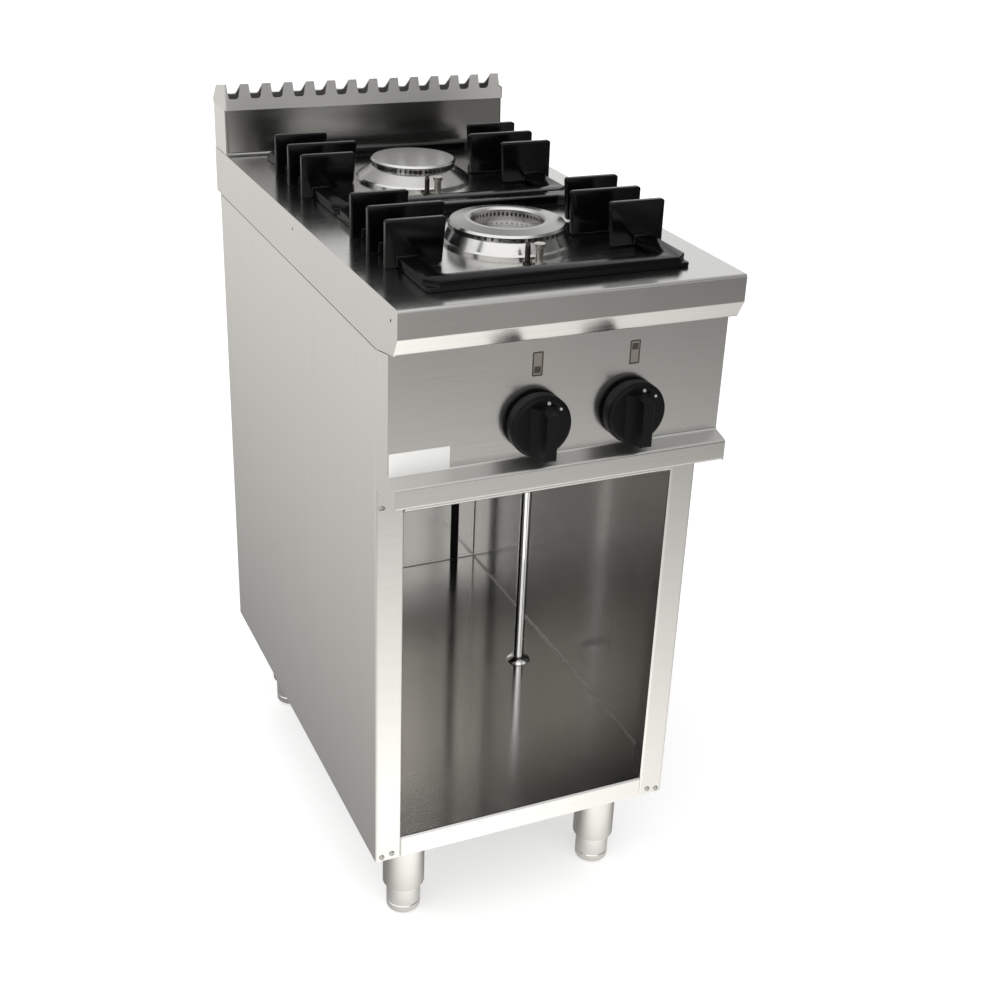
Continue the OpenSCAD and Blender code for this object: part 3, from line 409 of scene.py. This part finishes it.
# Post screws
# Zinc-plated pan heads with a cross recess, three in each front post. The plating is a pale, dull
# metal that reads as small grey dots.
def plain_metal(name, colour, roughness, grain_mm, depth_mm, top_darkening=0.0):
    """A metal with a fine grain. Its faces that look up can be darkened towards a dark brown."""
    made, tree, coords = new_material(name)
    grain = add(tree, "TexNoise", {"Vector": coords["Object"], "Scale": 1 / (grain_mm * mm), "Detail": 3})
    rough = add(tree, "MapRange", spread(grain, roughness * 0.8, roughness * 1.25), **smooth)
    bump = add(tree, "Bump", {"Height": grain, "Strength": 0.3, "Distance": depth_mm * mm})
    darker = add(tree, "MapRange", spread(grain, 0, 0.4), **smooth)
    tint = add(tree, "Mix", {"Factor": darker, "A": linear(colour), "B": linear(colour, 0.88)},
               data_type="RGBA")
    facing = add(tree, "SeparateXYZ", {0: coords["Normal"]}).outputs
    darkened_top = add(tree, "MapRange", steps(facing["Z"], 0.8, 0.95, 0, top_darkening), **smooth)
    tint = add(tree, "Mix", {"Factor": darkened_top, "A": tint.outputs[2], "B": linear("#16130F")},
               data_type="RGBA")
    shader = add(tree, "BsdfPrincipled", {
        "Base Color": tint.outputs[2], "Metallic": 1.0, "Roughness": rough, "Normal": bump})
    add(tree, "OutputMaterial", {"Surface": shader})
    return made


def turned(shape, centre, axis, rings, segments=48):
    """Adds a solid drawn out of a circle, ring by ring. Each ring is (radius, height) in
    millimetres; a radius may be a function of the angle."""
    axis = Vector(axis)
    across = axis.orthogonal().normalized()
    aside = axis.cross(across)
    lie = Matrix.Translation(centre) @ Matrix((across, aside, axis)).transposed().to_4x4()
    ring = bmesh.ops.create_circle(shape, radius=mm, segments=segments, matrix=lie)["verts"]
    foot = edges = list({edge for vert in ring for edge in vert.link_edges})
    for index, (radius, height) in enumerate(rings):
        if index:
            grown = bmesh.ops.extrude_edge_only(shape, edges=edges)["geom"]
            ring = [g for g in grown if isinstance(g, bmesh.types.BMVert)]
            edges = [g for g in grown if isinstance(g, bmesh.types.BMEdge)]
        for vert in ring:
            arm = vert.co - centre
            angle = math.atan2(arm.dot(aside), arm.dot(across))
            reach = radius(angle) if callable(radius) else radius
            vert.co = centre + axis * height * mm + (
                across * math.cos(angle) + aside * math.sin(angle)) * reach * mm
    for loop in (foot, edges):
        bmesh.ops.edgeloop_fill(shape, edges=loop)


def cross_recess(angle):
    """The reach of the recess in a screw's head, with four arms."""
    return recess_core + recess_arm * abs(math.cos(2 * angle)) ** 6


recess_core = 0.55
recess_arm = 1.25
screw_places = ((193, 624), (192, 145), (179, 147.5))
head_rings = ((1.9, -8), (1.9, 0), (3.5, 0), (3.5, 0.7), (3.2, 1.3), (2.6, 1.75), (1.9, 1.95),
              (cross_recess, 2.0), (cross_recess, 1.0), (0.4, 0.7))
shape = bmesh.new()
for s in (-1, 1):
    for x, z in screw_places:
        turned(shape, at(s * x, 0, z), forward, head_rings, 40)
zinc = plain_metal("zinc_screw", "#B4B3AF", roughness=0.3, grain_mm=0.8, depth_mm=0.03)
screws = new_piece("post_screws", shape, zinc, "cabinet", smooth_below=30)
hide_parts("cabinet_screws")

# Gas pipe
# A chromed steel pipe that comes down through the floor, with a low spun rosette around it. Chrome
# mirrors the cabinet sharply, so the pipe reads as thin dark and bright lines.
pipe_x = 136
pipe_y = 320
rosette_rings = ((17, 0), (17, 0.8), (16.2, 2.4), (14, 4.4), (11.6, 6.0), (9.6, 7.2), (8.4, 8.0),
                 (7.8, 8.0), (7.8, 0))
chrome = plain_metal("chrome_plate", "#EDEDED", roughness=0.07, grain_mm=6, depth_mm=0.02)
dress(("gas_inlet_pipe",), chrome)
shape = bmesh.new()
turned(shape, at(pipe_x, pipe_y, floor_top), up, rosette_rings)
rosette = new_piece("pipe_rosette", shape, chrome, "cabinet", smooth_below=40)
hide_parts("inlet_pipe_flange")

# Worktop
# One pressed sheet, 2 mm thick, polished finer than the cabinet, so that it mirrors the supports
# above it. Steel rivets hold its skirts.
rivet_face = 199.6
rivet_y = (-43, 293)
rivet_z = 854
rivet_rings = ((2.4, 0), (2.4, 0.35), (1.6, 0.4))
dress(("worktop",), satin_steel("polished_worktop_sheet", "#CFCECB", roughness=0.18))
shape = bmesh.new()
for s in (-1, 1):
    for y in rivet_y:
        turned(shape, at(s * rivet_face, y, rivet_z), (s, 0, 0), rivet_rings, 24)
rivet_steel = plain_metal("rivet_steel", "#77756F", roughness=0.3, grain_mm=0.8, depth_mm=0.03)
new_piece("skirt_rivets", shape, rivet_steel, "cabinet", smooth_below=30)

# Flue
# A box of polished sheet behind the worktop. Its upright front edges are rolled, its sides are
# satin, and a small fold closes it on the worktop. Its front and top are painted darker than the
# rest: painted shade and a painted dark reflection of the supports that stand before it.
flue_front = 594
flue_top = 964
flue_foot = 871.5
flue_roll = 3.5
corner_depth = 2
corner_rise = 20
fold_y = 595
fold_leg = 3
side_sheet_face = 199.6
side_sheet_back = 198.9
side_sheet_low = (599, 870.5)
side_sheet_high = (656.8, 933)
# Painted darker than the other sheet, as painted shade and dark reflection of the supports
shaded_flue_steel = satin_steel("polished_flue_sheet", "#A6A5A2", roughness=0.22)


def rounded_copy(node, name, material, body, width, chosen=lambda edge: True):
    """Replaces a node with a copy of its mesh whose flat faces are merged and whose chosen edges,
    out of those where it turns by more than 30 degrees, are rounded."""
    shape = bmesh.new()
    shape.from_mesh(nodes[node].data)
    bmesh.ops.remove_doubles(shape, verts=shape.verts, dist=0.001 * mm)
    bmesh.ops.dissolve_limit(shape, angle_limit=math.radians(2), verts=shape.verts, edges=shape.edges)
    edges = [e for e in shape.edges
             if len(e.link_faces) == 2 and e.calc_face_angle() > math.radians(30) and chosen(e)]
    bmesh.ops.bevel(shape, geom=edges, offset=width * mm, segments=3, affect="EDGES",
                    profile=0.5, material=-1, clamp_overlap=True)
    for face in shape.faces:
        face.material_index = 0
    made = new_piece(name, shape, material, body, smooth_below=50)
    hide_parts(node)
    return made


def upright_front_corner(edge):
    """Whether an edge of the flue stands at a front corner."""
    a, b = (vert.co for vert in edge.verts)
    at_corner = [abs(v.x) > wall_inside * mm and v.y < posts_y + (flue_front + corner_depth) * mm
                 for v in (a, b)]
    return all(at_corner) and abs(a.z - b.z) > corner_rise * mm


rounded_copy("flue_box", "rolled_flue_box", shaded_flue_steel, "cabinet", flue_roll,
             upright_front_corner)
shape = bmesh.new()
for s in (-1, 1):
    x0, x1 = sorted((s * side_sheet_face, s * side_sheet_back))
    block(shape, (x0, *side_sheet_low), (x1, *side_sheet_high))
new_piece("flue_side_sheets", shape, sheet_steel, "cabinet")
bead("flue_foot_fold", at(-wall_inside, fold_y, flue_foot), Vector((2 * wall_inside * mm, 0, 0)),
     forward, up, fold_leg, shaded_flue_steel)

# Flue cap
# One sheet with a coarse brushing that blurs what it reflects, bent over the flue: front strip,
# fold, slope to the back and end cheeks. Its notches were punched across the fold while it was
# flat, so they show in the strip and in the slope. The right end cuts through the last one.
cap_sheet = 1.5
cap_foot = 930
half_width = 200
corner_x = 199.4
corner_y = 594.6
cheek_back = (658, 936)
cheek_bend = (638, 956)
cheek_front = 596
cheek_tops = (963.6, 963.9)
cut_foot = 945
cut_rise = ((604, cut_foot), (608, 948), (613, 960.5))
slope_line = ((616, 942), (656.5, 936), (656.5, 930.5))
# The notches: their number, pitch and first place, a notch's length, its half widths at the fold
# and at its foot, the radius of its corners and how far in their middles lie, and where its
# outline has points
notch_count = 14
notch_pitch = 29.85
first_notch = -187.9
notch_h = 19.5
notch_top = 9.3
notch_foot = 6.4
notch_r = 4
notch_corner_in = 3.34
notch_points = (0, 3.03, 4.2, 5.3, 6.2, 6.7, 6.97, notch_top)
strip_end = 198
# The slope falls at 45 degrees, so a notch goes this share of its reach back, and as much down
slope_share = 0.7071


def notch_reach(x):
    """How far the nearest notch reaches from the fold, at x."""
    index = min(notch_count - 1, max(0, round((x - first_notch) / notch_pitch)))
    off = abs(x - first_notch - index * notch_pitch)
    flank = (notch_top - off) / (notch_top - notch_foot) * notch_h
    past_corner = max(0, off - (notch_foot - notch_corner_in))
    arc = notch_h - notch_r + math.sqrt(max(0, notch_r ** 2 - past_corner ** 2))
    return round(max(0, min(flank, arc)), 4)


front_x = {-strip_end, strip_end}
for index in range(notch_count):
    for off in notch_points:
        for s in (-1, 1):
            front_x.add(first_notch + index * notch_pitch + s * off)
front_x = sorted(x for x in front_x if -strip_end <= x <= strip_end)

left_cheek = [(-half_width, *cheek_back), (-half_width, *cheek_bend),
              (-half_width, cheek_front, cheek_tops[0]), (-corner_x, corner_y, cheek_tops[1])]
front_strip = [(x, flue_front, flue_top - notch_reach(x)) for x in front_x]
right_cheek = [(corner_x, corner_y, cut_foot), (half_width, cheek_front, cut_foot)]
right_cheek += [(half_width, y, z) for y, z in (*cut_rise, cheek_bend, cheek_back)]
rim = left_cheek + front_strip + right_cheek

shape = bmesh.new()
feet = [shape.verts.new(at(x, y, cap_foot)) for x, y, z in rim]
tops = [shape.verts.new(at(x, y, z)) for x, y, z in rim]
for i in range(len(rim) - 1):
    shape.faces.new((feet[i], feet[i + 1], tops[i + 1], tops[i]))
slope = []
for x, top in zip(front_x, tops[len(left_cheek):]):
    reach = notch_reach(x) * slope_share
    start = top if reach == 0 else shape.verts.new(at(x, flue_front + reach, flue_top - reach))
    slope.append([start] + [shape.verts.new(at(x, y, z)) for y, z in slope_line])
for one, two in zip(slope, slope[1:]):
    for k in range(len(slope_line)):
        shape.faces.new((one[k], two[k], two[k + 1], one[k + 1]))
bmesh.ops.recalc_face_normals(shape, faces=shape.faces)
bmesh.ops.solidify(shape, geom=shape.faces[:], thickness=cap_sheet * mm)
cap_steel = satin_steel("coarse_brushed_cap", "#DEDDDA", roughness=0.5)
cap = new_piece("notched_flue_cap", shape, cap_steel, "cabinet", smooth_below=35)
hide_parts("flue_cap")

# Control panel
# The same sheet as the sides, folded out into a ledge that hands and cloths have worn duller. On it
# are a bare plate of white enamelled aluminium with a rolled edge, and two screen-printed signs.
panel_face = -35
plate_left = -198.4
plate_right = -130
plate_foot = 677
plate_top = 705
plate_t = 0.9
plate_sunk = 0.1
plate_edge = 0.4
ink_grain = 2 / 3
dress(("control_panel",), satin_steel("polished_panel_sheet", steel_tone, roughness=0.2, worn=0.2))


def printed(name, colour):
    """Thin ink or paint, matt and a little uneven."""
    made, tree, coords = new_material(name)
    grain = add(tree, "TexNoise", {"Vector": coords["Object"], "Scale": 1 / (ink_grain * mm), "Detail": 2})
    thinner = add(tree, "MapRange", spread(grain, 0, 0.3), **smooth)
    tint = add(tree, "Mix", {"Factor": thinner, "A": linear(colour), "B": linear(colour, 0.8)},
               data_type="RGBA")
    shader = add(tree, "BsdfPrincipled", {"Base Color": tint.outputs[2], "Roughness": 0.45})
    add(tree, "OutputMaterial", {"Surface": shader})
    return made


shape = bmesh.new()
block(shape, (plate_left, panel_face - plate_t, plate_foot),
      (plate_right, panel_face + plate_sunk, plate_top), plate_edge, 3)
white_enamel = printed("white_enamelled_plate", "#F4F4F2")
new_piece("blank_plate", shape, white_enamel, "cabinet", smooth_below=40)

# Burner signs
# Plain plans of the range over each knob, printed dark on grey: a frame, and a dot on the burner
# that the knob is for. The ink lies on the steel and sinks a little into its grain.
ink = printed("dark_screen_print", "#3B3733")
grey_ink = printed("grey_screen_print", "#827C73")
ink_t = 0.08
ink_sunk = 0.2
sign_z = 785.2
plan_w = 11
plan_h = 26
plan_line = 1.6
plan_dot = 7.5
for side, x, filled in (("left", -32.0, -1), ("right", 84.6, 1)):
    front, back = panel_face - ink_t, panel_face + ink_sunk
    left, right = x - plan_w / 2, x + plan_w / 2
    foot, top = sign_z - plan_h / 2, sign_z + plan_h / 2
    shape = bmesh.new()
    for edge in (left, right):
        block(shape, (edge - plan_line / 2, front, foot), (edge + plan_line / 2, back, top))
    for edge in (foot, top):
        block(shape, (left, front, edge - plan_line / 2), (right, back, edge + plan_line / 2))
    dot_z = sign_z + filled * plan_h / 4
    block(shape, (x - plan_dot / 2, front, dot_z - plan_dot / 2),
          (x + plan_dot / 2, back, dot_z + plan_dot / 2))
    new_piece(f"{side}_burner_sign", shape, ink, "cabinet")
    shape = bmesh.new()
    block(shape, (left, panel_face - ink_t / 2, foot), (right, back, top))
    new_piece(f"{side}_burner_sign_ground", shape, grey_ink, "cabinet")

# Knobs
# Black moulded plastic with the mould's fine grain, which gives a soft sheen and no mirror image,
# and two white marks let into each face: a large flame and a small one.
knob_z = 720
knob_out = 20.2
knob_face = panel_face - knob_out
mark_radius = 28
mark_t = 0.06
mark_sunk = 0.2
# Each flame: its place on the face, in degrees clockwise from the top, and its size
large_flame = (12, 2.6)
small_flame = (47, 2.0)
flame_round = 0.75
flame_tip = 0.35
knob_plastic = dark_finish("black_moulded_plastic", "#0E0E10", roughness=0.42, grain_mm=0.5,
                           depth_mm=0.03, specular=0.16)
white_inlay = printed("white_inlay", "#B9BBBA")
dress(("left_knob", "right_knob", "left_bezel", "right_bezel"), knob_plastic)


def flame(size):
    """A mark's reach by the angle: round, with one drawn-out tip."""
    return lambda angle: size * (flame_round + flame_tip * max(0, math.cos(angle - math.pi / 2)) ** 4)


for side, x in (("left", -32), ("right", 83)):
    shape = bmesh.new()
    for clockwise, size in (large_flame, small_flame):
        a = math.radians(clockwise)
        middle = at(x + mark_radius * math.sin(a), knob_face, knob_z + mark_radius * math.cos(a))
        turned(shape, middle, forward, ((flame(size), -mark_sunk), (flame(size), mark_t)), 20)
    new_piece(f"{side}_knob_marks", shape, white_inlay, f"{side}_knob")

# Valves and pipes
# The gas train behind the panel: a manifold of steel tube, turned brass valves and injectors, steel
# spindles and drawn copper pipes. Brass and copper give this hidden part its only warm colours.
brass = plain_metal("turned_brass", "#C9A75C", roughness=0.25, grain_mm=1, depth_mm=0.05)
copper = plain_metal("drawn_copper", "#C2805A", roughness=0.3, grain_mm=1, depth_mm=0.05)
dress(("gas_manifold",), inner_steel)
dress(("left_push_collar", "right_push_collar", "left_spindle", "right_spindle"), sheet_steel)
dress(("front_injector", "rear_injector", "left_gas_valve", "right_gas_valve"), brass)
dress(("front_feed_pipe", "rear_feed_pipe"), copper)

# Burners
# Cast in a pale alloy and machined, with faces that look up darker than the rest. In front of each
# stand a nickel-plated pilot and a probe that the heat has darkened.
alloy = plain_metal("machined_cast_alloy", "#D2D1CE", roughness=0.2, grain_mm=0.8, depth_mm=0.03,
                    top_darkening=0.4)
nickel = plain_metal("nickel_pilot", "#C9C7C0", roughness=0.3, grain_mm=0.6, depth_mm=0.03)
probe_steel = plain_metal("heat_darkened_probe", "#4C4742", roughness=0.35, grain_mm=0.6, depth_mm=0.03)
dress(("front_burner_body", "rear_burner_body", "front_burner_crown", "rear_burner_cap"), alloy)
dress(("front_pilot", "rear_pilot"), nickel)
dress(("front_thermocouple", "rear_thermocouple"), probe_steel)

# Pan supports
# Cast iron under black glass enamel, fired on. The enamel rounds every edge of the casting, and
# each rounded edge catches a thin line of light on a black that mirrors a little.
enamel_edge = 1.4
black_enamel = dark_finish("black_glass_enamel", "#060606", roughness=0.2, grain_mm=6, depth_mm=0.06,
                           specular=0.16, coat=0.12)
for end in ("front", "rear"):
    rounded_copy(f"{end}_pan_support", f"{end}_enamelled_support", black_enamel, f"{end}_support",
                 enamel_edge)
